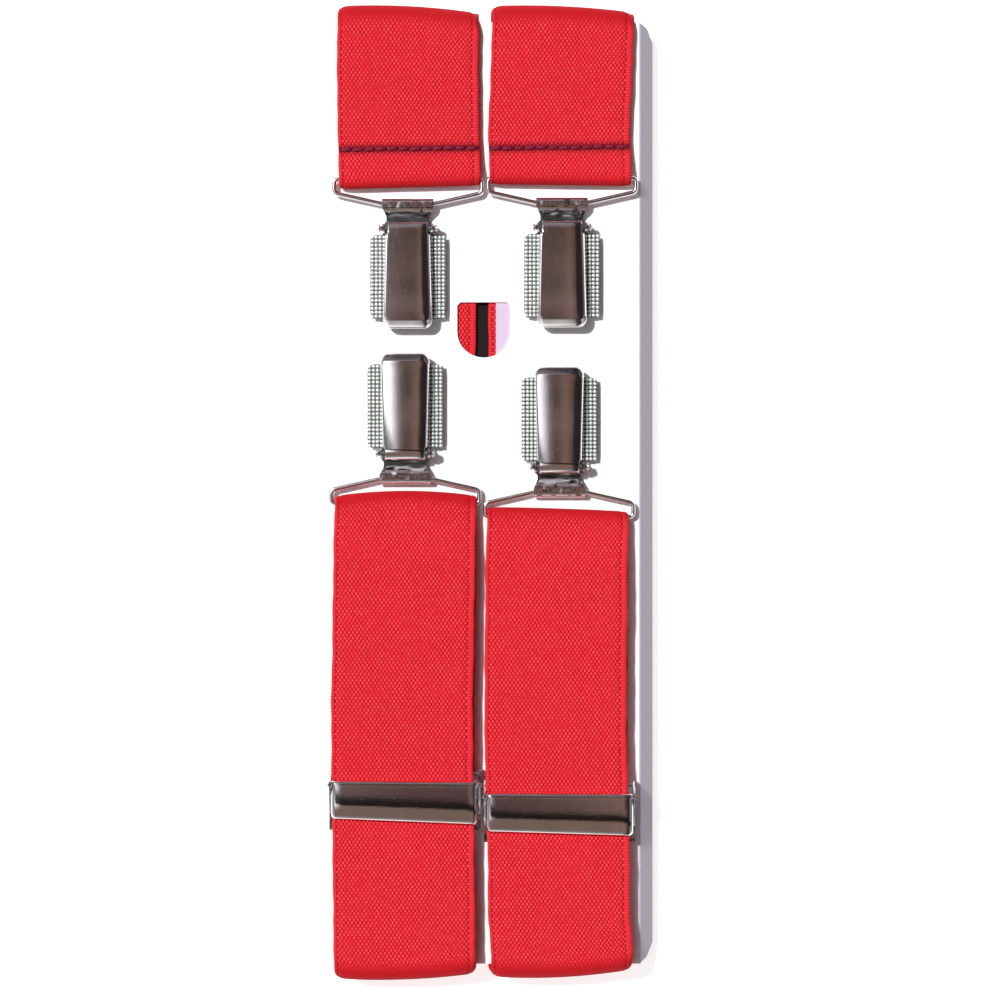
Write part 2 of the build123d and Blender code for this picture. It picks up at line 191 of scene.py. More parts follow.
def return_route(side):
    """The sewn end of a strap, from the front clip's bar back to the adjuster's anchor bar."""
    x = middle(f"front_{side}_wire_loop").x
    bar = middle(f"{side}_adjuster_anchor_bar").y
    loop_y = bar - FOLD_RISE - ANCHOR_R + WIRE_R
    loop_top = BAR_Z + FOLD_RISE
    sewn_z = Z_TAIL + WEB_THICK + LAYER_GAP
    points = [
        (loop_bar_y("front", side) - RETURN_START, Z_TAIL),
        (loop_y, Z_TAIL),
        (loop_y, loop_top),
        (bar + RETURN_RAMP[0], loop_top),
        (bar + RETURN_RAMP[1], sewn_z),
        (bar + RETURN_TAIL, sewn_z),
    ]
    return [(x, y, z) for y, z in points], [fold(Z_TAIL, loop_top)] * 2 + [RETURN_BEND] * 2


SEEN_Z = 9.0  # straight runs above this height are in sight
SEEN_STEP, HIDDEN_STEP = 0.45, 1.7


def walk(points, radii, turn=radians(11)):
    """Places and directions along straight runs joined by arcs, closer together where they are seen."""
    corners = [Vector(p) for p in points]
    places, ways = [corners[0]], [(corners[1] - corners[0]).normalized()]

    def run_to(end, way):
        start = places[-1]
        step = SEEN_STEP if min(start.z, end.z) > SEEN_Z else HIDDEN_STEP
        count = max(1, round((end - start).length / step))
        for k in range(1, count + 1):
            places.append(start.lerp(end, k / count))
            ways.append(way)

    for before, here, after, radius in zip(corners, corners[1:], corners[2:], radii):
        into, out = (here - before).normalized(), (after - here).normalized()
        angle = into.angle(out)
        cut = radius * tan(angle / 2)
        run_to(here - into * cut, into)
        start = places[-1]
        inward = (out - into * into.dot(out)).normalized()
        count = max(2, ceil(angle / turn), round(radius * angle / HIDDEN_STEP))
        for k in range(1, count + 1):
            a = angle * k / count
            places.append(start + into * (radius * sin(a)) + inward * (radius * (1 - cos(a))))
            ways.append(into * cos(a) + inward * sin(a))
    run_to(corners[-1], ways[-1])
    return places, ways


# ---- mesh helpers ----
WELD = 0.002  # points closer than this become one


def show(name, data):
    """A new object in the scene."""
    thing = bpy.data.objects.new(name, data)
    bpy.context.scene.collection.objects.link(thing)
    return thing


def mesh_piece(name, points, faces, material, uv=None, smooth=True, weld=False):
    """A mesh object from points in millimetres. uv has one (u, v) for each point."""
    mesh = bpy.data.meshes.new(name)
    mesh.from_pydata([tuple(c * MM for c in p) for p in points], [], faces)
    if uv is not None:
        layer = mesh.uv_layers.new(name="weave")
        corners = np.empty(len(mesh.loops), np.int32)
        mesh.loops.foreach_get("vertex_index", corners)
        layer.data.foreach_set("uv", np.asarray(uv, np.float32)[corners].ravel())
    mesh.materials.append(material)
    if weld:
        form = bmesh.new()
        form.from_mesh(mesh)
        bmesh.ops.remove_doubles(form, verts=form.verts, dist=WELD * MM)
        form.to_mesh(mesh)
        form.free()
    mesh.validate()
    mesh.update()
    if smooth:
        mesh.shade_smooth()
    return show(name, mesh)


def belongs(piece, body, slot, node=None):
    """Puts a piece on the body it rides on and hides the CAD node it stands for, if one is given. slot is
    not used.
    """
    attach(piece, body)
    if node:
        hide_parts(node)


def loft(rings, closed=True):
    """Points and faces of a skin over rings that all have the same number of points."""
    count = len(rings[0])
    points = [p for ring in rings for p in ring]
    last = count if closed else count - 1
    faces = []
    for r in range(len(rings) - 1):
        for k in range(last):
            a, b = r * count + k, r * count + (k + 1) % count
            faces.append((a, b, b + count, a + count))
    if closed:
        faces.append(tuple(reversed(range(count))))
        faces.append(tuple(range((len(rings) - 1) * count, len(rings) * count)))
    return points, faces


def flipped(faces):
    return [tuple(reversed(f)) for f in faces]


def turns(sides):
    """Angles of the points round a ring."""
    return [2 * pi * s / sides for s in range(sides)]


def join(parts):
    """One list of points and faces from several."""
    points, faces = [], []
    for more_points, more_faces in parts:
        shift = len(points)
        points += more_points
        faces += [tuple(i + shift for i in f) for f in more_faces]
    return points, faces


def ease(x, start, end):
    """0 before start, 1 after end, smooth between."""
    t = min(1.0, max(0.0, (x - start) / (end - start)))
    return t * t * (3 - 2 * t)


def near(x, place, width):
    """A smooth bump of height 1 about place."""
    return exp(-(((x - place) / width) ** 2))


# ---- node helpers ----
class Tree:
    """Short calls for building a node tree."""

    def __init__(self, tree):
        self.tree = tree

    def add(self, kind, inputs=None, **settings):
        """A node, with values or links for its inputs."""
        node = self.tree.nodes.new(kind)
        for key, value in settings.items():
            setattr(node, key, value)
        for key, value in (inputs or {}).items():
            self.link(value, node.inputs[key])
        return node

    def link(self, source, target):
        if isinstance(source, (int, float)):
            target.default_value = source
        elif isinstance(source, tuple):
            target.default_value = (*source, 1.0) if len(source) == 3 else source
        else:
            self.tree.links.new(source, target)

    def math(self, operation, *values, clamp=False):
        node = self.add("ShaderNodeMath", dict(enumerate(values)), operation=operation, use_clamp=clamp)
        return node.outputs[0]

    def times(self, first, second, clamp=False):
        return self.math("MULTIPLY", first, second, clamp=clamp)

    def mix(self, factor, first, second):
        node = self.add("ShaderNodeMix", data_type="RGBA")
        for place, value in ((0, factor), (6, first), (7, second)):
            self.link(value, node.inputs[place])
        return node.outputs[2]

    def span(self, value, low, high, to_low=0.0, to_high=1.0):
        """Smoothly maps value from low..high to to_low..to_high."""
        inputs = dict(enumerate((value, low, high, to_low, to_high)))
        return self.add("ShaderNodeMapRange", inputs, interpolation_type="SMOOTHSTEP").outputs[0]

    def split(self, vector):
        return tuple(self.add("ShaderNodeSeparateXYZ", {0: vector}).outputs)

    def texture(self, kind, vector, scale, **settings):
        return self.add(f"ShaderNodeTex{kind}", {"Vector": vector, "Scale": scale}, **settings)

    def noise(self, vector, scale, detail=3.0, roughness=0.55):
        node = self.texture("Noise", vector, scale)
        node.inputs["Detail"].default_value = detail
        node.inputs["Roughness"].default_value = roughness
        return node.outputs["Fac"]

    def stretch(self, vector, scale):
        node = self.add("ShaderNodeMapping", {"Vector": vector})
        node.inputs["Scale"].default_value = scale
        return node.outputs["Vector"]

    def place(self, scale=(1.0, 1.0, 1.0)):
        """Object coordinates in millimetres, stretched by scale."""
        source = self.add("ShaderNodeTexCoord").outputs["Object"]
        return self.stretch(source, [s / MM for s in scale])


class Finish(Tree):
    """A new material and its shader."""

    def __init__(self, name):
        self.material = bpy.data.materials.new(name)
        self.material.use_nodes = True
        super().__init__(self.material.node_tree)
        self.shader = self.tree.nodes["Principled BSDF"]

    def bump(self, height, depth, strength=1.0):
        """Depth is in millimetres."""
        inputs = {"Strength": strength, "Distance": depth * MM, "Height": height}
        node = self.add("ShaderNodeBump", inputs)
        self.link(node.outputs["Normal"], self.shader.inputs["Normal"])

    def set(self, **sockets):
        """Values and links for the shader's own sockets, with _ for a space in a socket's name."""
        for key, value in sockets.items():
            self.link(value, self.shader.inputs[key.replace("_", " ")])


# ---- materials ----
PICK_X = 0.98  # width of one float of the weave
PICK_Y = 0.72  # from one row to the next
# the darkest red is painted shade in the gaps between floats and in the edge grooves; the palest red is
# painted highlight on the floats and rib ticks, and also the paler fuzz of the fibres
RED_GAP_SHADE = (0.30, 0.0005, 0.003)
RED_MID = (0.58, 0.0065, 0.014)
RED_HIGHLIGHT_AND_FUZZ = (0.92, 0.055, 0.075)
# painted shade where the webbing turns over a fold or round a wire loop
RED_FOLD_SHADE = (0.42, 0.004, 0.008)
RED_DULL = (0.50, 0.007, 0.014)
# painted shade in the dent along each row of sewing
RED_SEWN_SHADE = (0.07, 0.0005, 0.006)
LEFT_GROOVE, RIGHT_GROOVE = -16.0, 15.5  # where the ribs at the edges begin
RIB_STEP = 0.35


def webbing_material():
    """Red elastic webbing: short floats in staggered rows, with ribs along both edges; painted highlights on
    the floats and rib ticks, painted shade in the gaps, edge grooves, folds, loops and sewn rows.
    """
    t = Finish("red_webbing")
    t.set(Roughness=0.85, Specular_IOR_Level=0.12)
    t.set(Sheen_Weight=0.05, Sheen_Roughness=0.5, Sheen_Tint=(1.0, 0.75, 0.75))
    uv = t.add("ShaderNodeUVMap", uv_map="weave").outputs[0]
    u, v = t.split(uv)[:2]
    wander = t.noise(uv, 0.22, 2.0)
    u_bent = t.math("MULTIPLY_ADD", wander, 0.5, u)
    v_bent = t.math("MULTIPLY_ADD", t.noise(uv, 0.6, 1.0), 0.25, v)
    rows = t.math("DIVIDE", v_bent, PICK_Y)
    row = t.math("FLOOR", rows)
    odd = t.times(t.math("FLOORED_MODULO", row, 2.0), 0.5)
    columns = t.math("ADD", t.math("DIVIDE", u_bent, PICK_X), odd)
    cell = t.add("ShaderNodeCombineXYZ", {0: t.math("FLOOR", columns), 1: row}).outputs[0]
    dice = t.add("ShaderNodeTexWhiteNoise", {"Vector": cell}, noise_dimensions="2D")
    chance = dice.outputs["Value"]
    fx = t.math("SUBTRACT", t.math("FRACT", columns), 0.5)
    fy = t.math("SUBTRACT", t.math("FRACT", rows), 0.5)

    def blob(dx, dy, half_x, half_y):
        """1 in the middle of an oval, 0 outside."""
        across, along = t.math("DIVIDE", dx, half_x), t.math("DIVIDE", dy, half_y)
        squares = [t.math("POWER", t.math("ABSOLUTE", d), 2.0) for d in (across, along)]
        return t.span(t.math("ADD", *squares), 1.0, 0.05)

    pull_and_shade_marks = t.add("ShaderNodeVertexColor", layer_name="pull_and_shade_marks").outputs["Color"]
    shares = t.add("ShaderNodeSeparateColor", {0: pull_and_shade_marks})
    tight_and_fold_shade, sewn_shade = shares.outputs[0], shares.outputs[1]
    loose = t.math("SUBTRACT", 1.0, t.times(tight_and_fold_shade, 0.8))
    # painted highlight on each float, and painted shade in the gap between floats
    lit = blob(fx, fy, 0.40, 0.60)
    gap = blob(t.math("SUBTRACT", 0.5, t.math("ABSOLUTE", fx)), fy, 0.30, 0.55)
    size = t.math("MULTIPLY_ADD", chance, 0.7, 0.55)
    patchy = t.times(t.span(t.noise(uv, 0.35, 2.0), 0.3, 0.7, 0.65, 1.1), loose)
    lit = t.times(t.times(lit, size), patchy)
    gap = t.times(t.times(gap, patchy), 0.95)

    # painted highlights on the cross ticks of the edge ribs, and painted shade in the grooves beside them
    left_rib = t.span(u, LEFT_GROOVE, LEFT_GROOVE - RIB_STEP)
    right_rib = t.span(u, RIGHT_GROOVE + 0.05, RIGHT_GROOVE + RIB_STEP)
    rib = t.math("MAXIMUM", left_rib, right_rib)
    ticks = t.times(t.math("PINGPONG", v_bent, PICK_Y / 2), 2.0 / PICK_Y)
    groove = t.math(
        "MAXIMUM",
        blob(t.math("SUBTRACT", u, LEFT_GROOVE), 0.0, 0.3, 1.0),
        blob(t.math("SUBTRACT", u, RIGHT_GROOVE), 0.0, 0.34, 1.0),
    )
    core = t.math("SUBTRACT", 1.0, rib)
    rib_highlight = t.times(rib, t.times(ticks, 0.55))
    lit = t.math("ADD", t.times(lit, core), rib_highlight)
    gap = t.math("MAXIMUM", t.times(gap, core), groove)

    mottle = t.noise(uv, 0.09, 4.0)
    tone = t.mix(t.span(mottle, 0.3, 0.72, 0.0, 0.55), RED_MID, RED_DULL)
    tone = t.mix(t.times(gap, 0.9, clamp=True), tone, RED_GAP_SHADE)
    tone = t.mix(t.times(lit, 0.95, clamp=True), tone, RED_HIGHLIGHT_AND_FUZZ)
    fuzz = t.noise(uv, 6.0, 2.0)
    tone = t.mix(t.span(fuzz, 0.35, 0.75, 0.0, 0.22), tone, RED_HIGHLIGHT_AND_FUZZ)
    # painted shade over the folds and round the wire loops
    tone = t.mix(t.times(tight_and_fold_shade, 0.85), tone, RED_FOLD_SHADE)
    # painted shade along the rows of sewing
    tone = t.mix(t.times(sewn_shade, 0.9), tone, RED_SEWN_SHADE)
    t.set(Base_Color=tone)
    height = t.math("SUBTRACT", t.math("ADD", lit, 0.6), t.times(gap, 0.6))
    height = t.math("MULTIPLY_ADD", fuzz, 0.25, height)
    t.bump(height, 0.13, 0.8)
    return t.material


THREAD_SHADE, THREAD_HIGHLIGHT = (0.055, 0.0004, 0.010), (0.34, 0.012, 0.055)


def thread_material():
    """Maroon sewing thread, two plies twisted together, with painted highlights on the plies and painted
    shade between them.
    """
    t = Finish("maroon_thread")
    t.set(Roughness=0.6, Specular_IOR_Level=0.3)
    wave = t.texture("Wave", t.place(), 1.6, wave_type="BANDS", bands_direction="DIAGONAL")
    wave.inputs["Distortion"].default_value = 1.5
    tone = t.mix(wave.outputs["Fac"], THREAD_SHADE, THREAD_HIGHLIGHT)
    t.set(Base_Color=tone)
    t.bump(wave.outputs["Fac"], 0.05)
    return t.material


OXBLOOD, OXBLOOD_LIGHT = (0.045, 0.006, 0.006), (0.085, 0.014, 0.012)
OXBLOOD_CRACK = (0.018, 0.003, 0.003)
OXBLOOD_RUBBED = (0.2, 0.06, 0.04)


def leather_material():
    """Dark oxblood leather with a fine grain, paler where the edge is rubbed."""
    t = Finish("oxblood_leather")
    t.set(Specular_IOR_Level=0.45, Coat_Weight=0.08, Coat_Roughness=0.35)
    here = t.place()
    grain = t.texture("Voronoi", here, 1.35, feature="DISTANCE_TO_EDGE")
    crack = t.span(grain.outputs["Distance"], 0.0, 0.16)
    cloud = t.noise(here, 0.12, 5.0)
    tone = t.mix(t.span(cloud, 0.3, 0.75), OXBLOOD, OXBLOOD_LIGHT)
    tone = t.mix(crack, OXBLOOD_CRACK, tone)
    rub = t.add("ShaderNodeNewGeometry").outputs["Pointiness"]
    tone = t.mix(t.span(rub, 0.52, 0.6, 0.0, 0.5), tone, OXBLOOD_RUBBED)
    t.set(Base_Color=tone)
    t.set(Roughness=t.span(cloud, 0.25, 0.75, 0.38, 0.58))
    t.bump(t.math("MULTIPLY_ADD", t.noise(here, 3.0), 0.3, crack), 0.08, 0.7)
    return t.material


DUST = (0.55, 0.5, 0.48)
LENGTHWAYS, LONG_LENGTHWAYS, CROSSWAYS = (1.0, 0.12, 1.0), (1.0, 0.08, 1.0), (0.08, 1.0, 1.0)


def chrome_material(name, tone, rough, brushed=0.03, along=LENGTHWAYS, dents=0.0, metal=1.0):
    """Nickel or chrome plate: cloudy polish, fine scratches along one way, and specks of dust."""
    t = Finish(name)
    t.set(Metallic=metal)
    here = t.place()
    cloud = t.noise(here, 0.18, 4.0)
    stroke = t.noise(t.place(along), 3.2, 4.0, 0.7)
    speck = t.texture("Voronoi", here, 0.8, feature="F1")
    dust = t.span(speck.outputs["Distance"], 0.10, 0.04)
    worn = tuple(c * 0.8 for c in tone)
    colour = t.mix(t.span(cloud, 0.35, 0.7, 0.0, 0.35), tone, worn)
    colour = t.mix(t.times(dust, 0.5), colour, DUST)
    t.set(Base_Color=colour)
    gloss = t.math("MULTIPLY_ADD", t.span(stroke, 0.45, 0.75), brushed * 3, rough)
    gloss = t.math("MULTIPLY_ADD", cloud, 0.05, gloss)
    gloss = t.math("MULTIPLY_ADD", dust, 0.2, gloss)
    t.set(Roughness=gloss)
    depth = 0.004 + brushed * 0.03
    if dents:
        stroke = t.math("MULTIPLY_ADD", t.noise(here, 0.3, 1.0), dents / depth, stroke)
    t.bump(stroke, depth)
    return t.material


WEBBING = webbing_material()
THREAD = thread_material()
LEATHER = leather_material()
WIRE = chrome_material("nickel_wire", (0.80, 0.77, 0.76), 0.12)
SHEET = chrome_material("pressed_chrome", (0.88, 0.86, 0.87), 0.07, dents=0.32)
LEVER = chrome_material("lever_chrome", (0.88, 0.86, 0.86), 0.06, 0.02, LONG_LENGTHWAYS)
MIRROR = chrome_material("mirror_chrome", (0.87, 0.85, 0.86), 0.04, 0.015, CROSSWAYS)
PIN = chrome_material("pin_steel", (0.72, 0.70, 0.69), 0.16)
# a dark tone on the jaw plate: painted shade for the gaps between its beads
JAW_WITH_GAP_SHADE = chrome_material("satin_jaw", (0.16, 0.18, 0.16), 0.3)
BEAD = chrome_material("bright_beads", (0.90, 0.94, 0.90), 0.40, metal=0.6)


# ---- webbing ----
HALF = WEB_WIDTH / 2
# across the webbing: (place, half thickness), with a rib along each edge
LEFT_RIB = [(-17.1, 0.12), (-17.02, 0.38), (-16.8, 0.54), (-16.45, 0.55), (-16.2, 0.46)]
LEFT_RIB += [(-16.0, 0.43), (-15.7, 0.50)]
RIGHT_RIB = [(15.1, 0.51), (15.35, 0.44), (15.55, 0.42), (15.8, 0.52), (16.2, 0.57)]
RIGHT_RIB += [(16.65, 0.56), (16.95, 0.42), (17.1, 0.12)]
CORE = [(a, 0.52) for a in np.linspace(-14.4, 13.8, 13)]
TOP_FACE = LEFT_RIB + CORE + RIGHT_RIB
SECTION = TOP_FACE + [(a, -h) for a, h in reversed(TOP_FACE)]

# how each visible run leans off its straight line: {(end, side): [(y, sideways)]}
LEAN = {
    ("back", "left"): [(74, 0.45), (80, 0.45), (92, 0.0), (117, 0.0)],
    ("back", "right"): [(74, -0.35), (86, -0.75), (98, -0.25), (117, 0.35)],
    ("front", "left"): [(-117, 0.05), (-98, -0.2), (-56, -0.65), (-22, -0.2), (0, 0.15)],
    ("front", "right"): [(-117, 0.65), (-98, -0.1), (-52, -0.95), (-22, -0.75), (-6, -0.4)],
}
# the line of each outer fold: (rise in the middle, slant, bow)
FOLD_LINE = {
    ("back", "left"): (0.25, -0.05, 0.003),
    ("back", "right"): (0.15, -0.045, 0.0025),
    ("front", "left"): (0.15, -0.035, 0.003),
    ("front", "right"): (-0.4, -0.05, 0.0035),
}
# the line of the webbing round each wire loop: (shift in the middle, slant, bow)
LOOP_LINE = {
    ("back", "left"): (-0.2, 0.03, 0.0),
    ("back", "right"): (0.1, -0.014, 0.0),
    ("front", "left"): (0.7, 0.0, -0.0062),
    ("front", "right"): (0.0, -0.04, -0.0008),
}
INNER_SHIFT = {"left": 0.7, "right": 1.1}  # the inner passes lie under the back runs
INNER_SHIFT_REACH = (60, 105)  # from nothing to all of it, along y
LEAN_REACH = (7.3, 8.8)  # heights over which the lean of the visible runs sets in
WAVES = ((0.07, 0.31, 1), (0.05, 0.83, 2))  # (sideways, radians to the mm, times the phase)
FOLD_REACH = (16, 2)  # from the pair's end: where a fold's line sets in, and is whole
CORNER_ROUND = 1.2  # how far a fold's corners are drawn in
CORNER_WIDTH = 2.2
LOOP_ROUND = 0.5  # the same at a wire loop
LOOP_AT, LOOP_WIDTH = 0.5, 3.2  # how far off its bar that line is centred, and its reach
ABOVE_CROSS = 3.0  # heights that part the passes
ABOVE_CARD = 7.6
ABOVE_TAILS = 9.9
SWELL = 0.14  # slow unevenness of the visible runs
SWELL_SCALE = (0.09, 0.05)  # across and along
SEW_SLANT = 0.012
SEW_DEPTH, SEW_WIDTH = 0.3, 1.0  # the dent along a row of sewing
TIGHT_FOLD = (5.5, 1.5)  # from the pair's end: where a fold begins to be tight and darkened with painted shade, and is
TIGHT_LOOP_AT, TIGHT_LOOP_WIDTH, TIGHT_LOOP = 1.6, 1.7, 0.9
BACK_SHARE = 0.75  # of LENGTH: so far a strap is shaped as its back run
STRAP_PHASE = {"left": 1.3, "right": 4.1}
RETURN_PHASE = 2.2


def outward(end):
    """Which way along y the visible run of an end goes, from its clip to its fold."""
    return 1 if end == "back" else -1


def lean(run, y):
    """How far a visible run stands to the side at y."""
    stops = LEAN[run]
    for (y0, a), (y1, b) in zip(stops, stops[1:]):
        if y <= y1:
            return a + (b - a) * ease(y, y0, y1)
    return stops[-1][1]


def shape_webbing(run, x, y, z, a, phase):
    """Moves a point of the webbing off the straight CAD form. a is its place across, from -HALF to HALF."""
    end, side = run
    out = outward(end)
    seen = ease(z, *LEAN_REACH)
    if end == "front":
        x += (1 - seen) * ease(y, *INNER_SHIFT_REACH) * INNER_SHIFT[side]
    x += seen * lean(run, y)
    x += sum(size * sin(y * rate + times * phase) for size, rate, times in WAVES)
    rise, slant, bow = FOLD_LINE[run]
    at_fold = ease(out * y, LENGTH / 2 - FOLD_REACH[0], LENGTH / 2 - FOLD_REACH[1])
    corner = max(0.0, (abs(a) - HALF + CORNER_WIDTH) / CORNER_WIDTH)
    if z > ABOVE_CROSS:
        y += at_fold * (out * (rise - bow * a * a) + slant * a * out - out * CORNER_ROUND * corner**2)
    bar = loop_bar_y(end, side)
    shift, slant, bow = LOOP_LINE[run]
    at_loop = near(y, bar - out * LOOP_AT, LOOP_WIDTH) * (z > ABOVE_CARD)
    y += at_loop * (shift + slant * a + bow * a * a + out * LOOP_ROUND * corner**2)
    z -= SEW_DEPTH * sewn(run, y, z, a)
    z += seen * SWELL * noise.noise((x * SWELL_SCALE[0], y * SWELL_SCALE[1], phase))
    return x, y, z


def tightness_and_fold_shade(run, y, z):
    """Where the webbing is drawn smooth over a fold or a loop, and darkened there with painted shade: 0 to
    1.
    """
    out = outward(run[0])
    folded = looped = 0.0
    if z > ABOVE_CROSS:
        folded = ease(out * y, LENGTH / 2 - TIGHT_FOLD[0], LENGTH / 2 - TIGHT_FOLD[1])
    if z > ABOVE_CARD:
        looped = near(y, loop_bar_y(*run) - out * TIGHT_LOOP_AT, TIGHT_LOOP_WIDTH)
    return max(folded, TIGHT_LOOP * looped)


def sewn(run, y, z, a):
    """1 along a row of sewing that is drawn into the webbing; the same mask darkens the row with painted
    shade.
    """
    if run[0] == "front" or z < ABOVE_TAILS:
        return 0.0
    return near(y - SEW_SLANT * a, loop_bar_y(*run) + STITCH_AT, SEW_WIDTH)


def webbing(name, route, run_at, phase):
    """Webbing along a route, and its length. run_at(length) is the visible run it belongs to there."""
    places, ways = walk(*route)
    across = Vector((1, 0, 0))
    rings, uv, pull_and_shade_marks, length = [], [], [], 0.0
    for k, (place, way) in enumerate(zip(places, ways)):
        if k:
            across = ways[k - 1].rotation_difference(way) @ across
            length += (place - places[k - 1]).length
        normal = across.cross(way)
        run = run_at(length)
        ring = []
        for a, h in SECTION:
            p = place + across * a + normal * h
            ring.append(shape_webbing(run, p.x, p.y, p.z, a, phase))
            uv.append((a, length))
            # how far each point is drawn smooth and darkened with painted shade at folds and loops, and
            # along sewn rows
            pull_and_shade_marks.append((tightness_and_fold_shade(run, p.y, p.z), sewn(run, p.y, p.z, a), 0.0, 1.0))
        rings.append(ring)
    piece = mesh_piece(name, *loft(rings), WEBBING, uv)
    layer = piece.data.color_attributes.new("pull_and_shade_marks", "FLOAT_COLOR", "POINT")
    layer.data.foreach_set("color", np.asarray(pull_and_shade_marks, np.float32).ravel())
    return piece, length


def build_straps():
    for side in SIDES:
        back_run, front_run = ("back", other(side)), ("front", side)

        def run_at(length):
            return back_run if length < BACK_SHARE * LENGTH else front_run

        piece, length = webbing(f"{side}_strap_webbing", strap_route(side), run_at, STRAP_PHASE[side])
        belongs(piece, "straps", "webbing", f"{side}_strap")

        name = f"{side}_strap_end_webbing"
        piece, length = webbing(name, return_route(side), lambda length: front_run, RETURN_PHASE)
        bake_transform(piece)
        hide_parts(f"{side}_strap_return")


# ---- sewing ----
STITCH_LEN = 2.6
STITCH_PITCH = 2.75
STITCH_COUNT = 12
STITCH_R = 0.5
STITCH_LIFT = 0.02
STITCH_SUNK = 0.1  # how much deeper a row at a back clip lies
STITCH_TILT = 0.06
WANDER = (0.08, 5.1)  # of a stitch's place: how far, and radians from one to the next
UNEVEN = (0.12, 2.3)  # the same of half its length


def stitch(start, end, up, rise=0.5, sides=7, steps=7):
    """One run of thread that dips into the cloth at both ends."""
    start, end, up = Vector(start), Vector(end), Vector(up)
    way = (end - start).normalized()
    side = way.cross(up)
    rings = []
    for k in range(steps + 1):
        t = k / steps
        centre = start.lerp(end, t) + up * (rise * sin(pi * t) ** 0.6 - rise)
        thick = STITCH_R * (0.8 + 0.2 * sin(pi * t))
        ring = [side * (thick * cos(q)) + up * (thick * sin(q)) for q in turns(sides)]
        rings.append([centre + p for p in ring])
    points, faces = loft(rings)
    return points, flipped(faces)


def sewn_piece(name, stitches, body, node):
    piece = mesh_piece(name, *join(stitches), THREAD)
    belongs(piece, body, "thread", node)


def build_sewing():
    first = -(STITCH_COUNT - 1) / 2 * STITCH_PITCH
    for end, side in CLIPS:
        at_back = end == "back"
        slant = SEW_SLANT if at_back else 0.0
        mid = middle(f"{end}_{side}_stitches")
        low = box(f"{end}_{side}_stitches")[0]
        z = low.z + STITCH_LIFT - (STITCH_SUNK if at_back else 0.0)
        shift = lean((end, side), mid.y) if at_back else 0.0
        stitches = []
        for k in range(STITCH_COUNT):
            x = first + k * STITCH_PITCH
            y = mid.y + slant * x + WANDER[0] * sin(WANDER[1] * k)
            half = STITCH_LEN / 2 + UNEVEN[0] * sin(UNEVEN[1] * k)
            x += mid.x + shift
            stitches.append(stitch((x - half, y - STITCH_TILT, z), (x + half, y + STITCH_TILT, z), UP))
        body = "straps" if at_back else f"{side}_adjuster"
        sewn_piece(f"{end}_{side}_sewn_row", stitches, body, f"{end}_{side}_stitches")


# ---- leather patch ----
PATCH_WAIST = 7.0  # how far each long side is drawn in
PATCH_CORNER = 5.0
PATCH_SEAM_IN = 2.6
# from the patch's edge in: (share of the way to its seam, share of its height)
PATCH_EDGE = [(0.0, 0.0), (0.0, 0.55), (0.05, 0.85), (0.16, 0.98)]
PATCH_EDGE += [(0.45, 1.0), (0.8, 0.93), (1.0, 0.78), (1.2, 0.93)]
SEAM_PITCH = 3.1
SEAM_GAP = 0.35  # half the gap between two stitches
SEAM_SINK = 0.05


def patch_outline(inset, count=26):
    """Points round the patch, with drawn-in sides and round corners."""
    low, high = box("patch_outer")
    half_x, half_y = (high.x - low.x) / 2 - inset, (high.y - low.y) / 2 - inset
    centre = (low + high) / 2
    corner = PATCH_CORNER - inset
    quarter = []
    for k in range(count + 1):
        t = k / count
        y = t * (half_y - corner)
        quarter.append((half_x - PATCH_WAIST * (1 - (y / half_y) ** 2), y))
    x_turn, y_turn = quarter[-1]
    for k in range(1, 8):
        q = pi / 2 * k / 7
        quarter.append((x_turn - corner * (1 - cos(q)), y_turn + corner * sin(q)))
    x_end, y_end = quarter[-1]
    for k in range(1, 13):
        quarter.append((x_end * (1 - k / 12), y_end))
    loop = quarter + [(-x, y) for x, y in reversed(quarter[:-1])]
    loop += [(-x, -y) for x, y in quarter[1:]] + [(x, -y) for x, y in reversed(quarter[1:-1])]
    return [(centre.x + x, centre.y + y) for x, y in loop]


def patch_panel(node, up):
    """One pillowed panel: its edge rolled, pressed in along the seam."""
    low, high = box(node)
    centre = (low + high) / 2
    outline = patch_outline(0.0)
    inner = patch_outline(PATCH_SEAM_IN)
    seat, face = (low.z, high.z) if up > 0 else (high.z, low.z)
    rings = []
    for along, level in PATCH_EDGE:
        z = seat + (face - seat) * level
        pairs = zip(outline, inner)
        rings.append([(ox + (ix - ox) * along, oy + (iy - oy) * along, z) for (ox, oy), (ix, iy) in pairs])
    x0, y0 = centre.x, centre.y
    for shrink in (0.8, 0.6, 0.4, 0.2, 0.02):
        rings.append([(x0 + (x - x0) * shrink, y0 + (y - y0) * shrink, face) for x, y in inner])
    if up < 0:
        rings = [list(reversed(ring)) for ring in rings]
    piece = mesh_piece(f"{node}_leather", *loft(rings), LEATHER)
    belongs(piece, "straps", "leather", node)


def seam_runs(z):
    """Stitches round the patch at height z."""
    line = [Vector((x, y, z)) for x, y in patch_outline(PATCH_SEAM_IN + STITCH_R)]
    line.append(line[0])
    marks, length = [], 0.0
    for a, b in zip(line, line[1:]):
        marks.append((length, a, b))
        length += (b - a).length
    pitch = length / round(length / SEAM_PITCH)

    def at(d):
        for start, a, b in reversed(marks):
            if d >= start:
                return a.lerp(b, (d - start) / max(1e-6, (b - a).length))
        return line[0]

    count = round(length / pitch)
    return [(at(k * pitch + SEAM_GAP), at((k + 1) * pitch - SEAM_GAP)) for k in range(count)]


def build_patch():
    patch_panel("patch_outer", -1)
    patch_panel("patch_inner", 1)
    under, over = box("patch_outer")[0].z, box("patch_inner")[1].z
    stitches = [stitch(a, b, UP) for a, b in seam_runs(over - SEAM_SINK)]
    stitches += [stitch(a, b, DOWN) for a, b in seam_runs(under + SEAM_SINK + STITCH_R)]
    sewn_piece("patch_sewn_line", stitches, "straps", "patch_seam")


